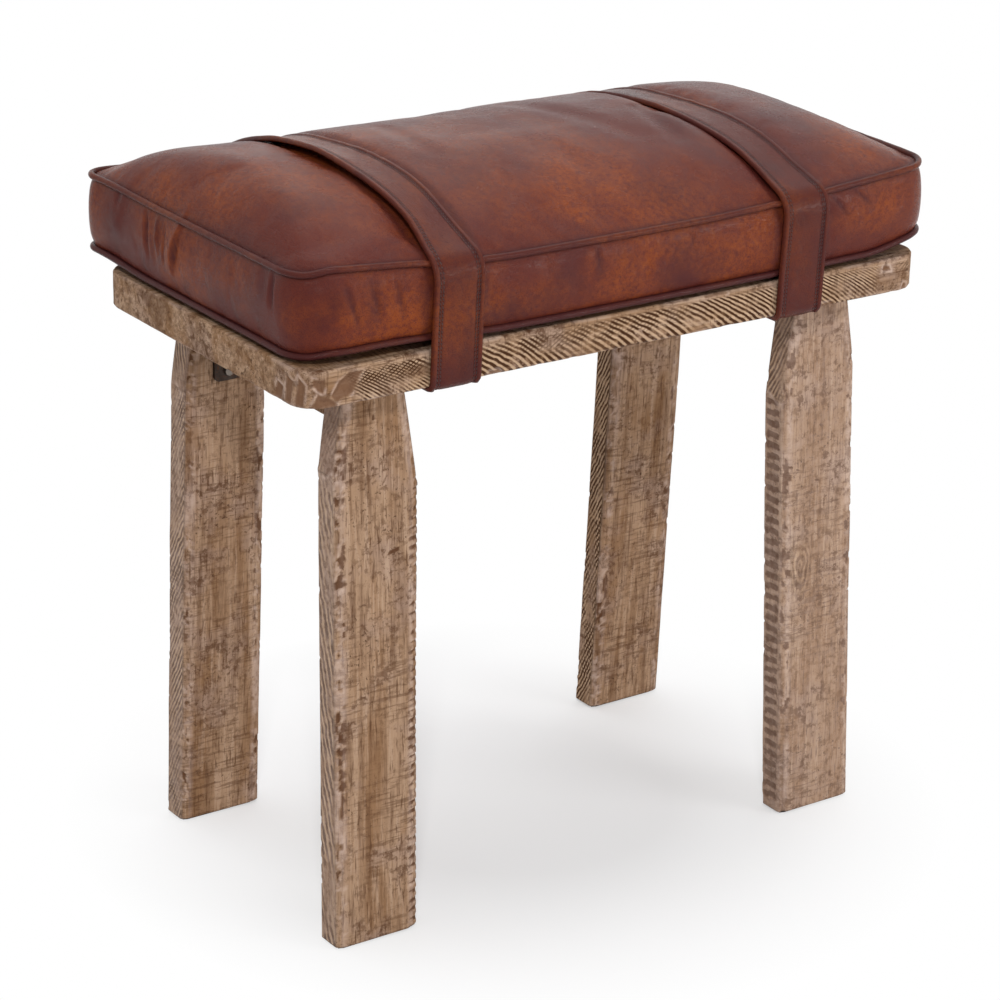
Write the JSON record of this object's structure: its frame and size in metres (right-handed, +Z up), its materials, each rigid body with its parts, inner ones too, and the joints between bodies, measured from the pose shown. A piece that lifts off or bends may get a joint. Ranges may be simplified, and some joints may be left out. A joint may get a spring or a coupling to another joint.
{
  "type": "stool",
  "caption": "Small bench stool: a boxed leather cushion strapped with leather belts onto a weathered wooden board on splayed flat legs.",
  "frame": {"origin": "on the floor, under the middle of the seat cushion", "axes": "+X along the long side of the seat, to the right when facing the front long side; +Y to the back; +Z up"},
  "size_m": [0.5116, 0.2926, 0.5062],
  "materials": {
    "old_wood": "satin",
    "pad_rubber": "matte",
    "bracket_steel": "satin",
    "screw_steel": "satin",
    "brass": "satin",
    "cushion_filling": "matte",
    "cushion_leather": "gloss",
    "piping_leather": "gloss",
    "strap_leather": "gloss"
  },
  "bodies": {
    "root": {"batten_left": "old_wood", "batten_right": "old_wood", "batten_screws": "screw_steel", "bracket_back_left": "bracket_steel", "bracket_back_right": "bracket_steel", "bracket_front_left": "bracket_steel", "bracket_front_right": "bracket_steel", "bracket_screws": "screw_steel", "cushion_bottom_panel": "cushion_leather", "cushion_core": "cushion_filling", "cushion_side_band": "cushion_leather", "cushion_top_panel": "cushion_leather", "foot_pad_back_left": "pad_rubber", "foot_pad_back_right": "pad_rubber", "foot_pad_front_left": "pad_rubber", "foot_pad_front_right": "pad_rubber", "leg_back_left": "old_wood", "leg_back_right": "old_wood", "leg_front_left": "old_wood", "leg_front_right": "old_wood", "piping_bottom": "piping_leather", "piping_top": "piping_leather", "seat_board": "old_wood", "seat_screws": "screw_steel", "strap_left": "strap_leather", "strap_right": "strap_leather", "strap_screws": "brass"}
  },
  "joints": []
}
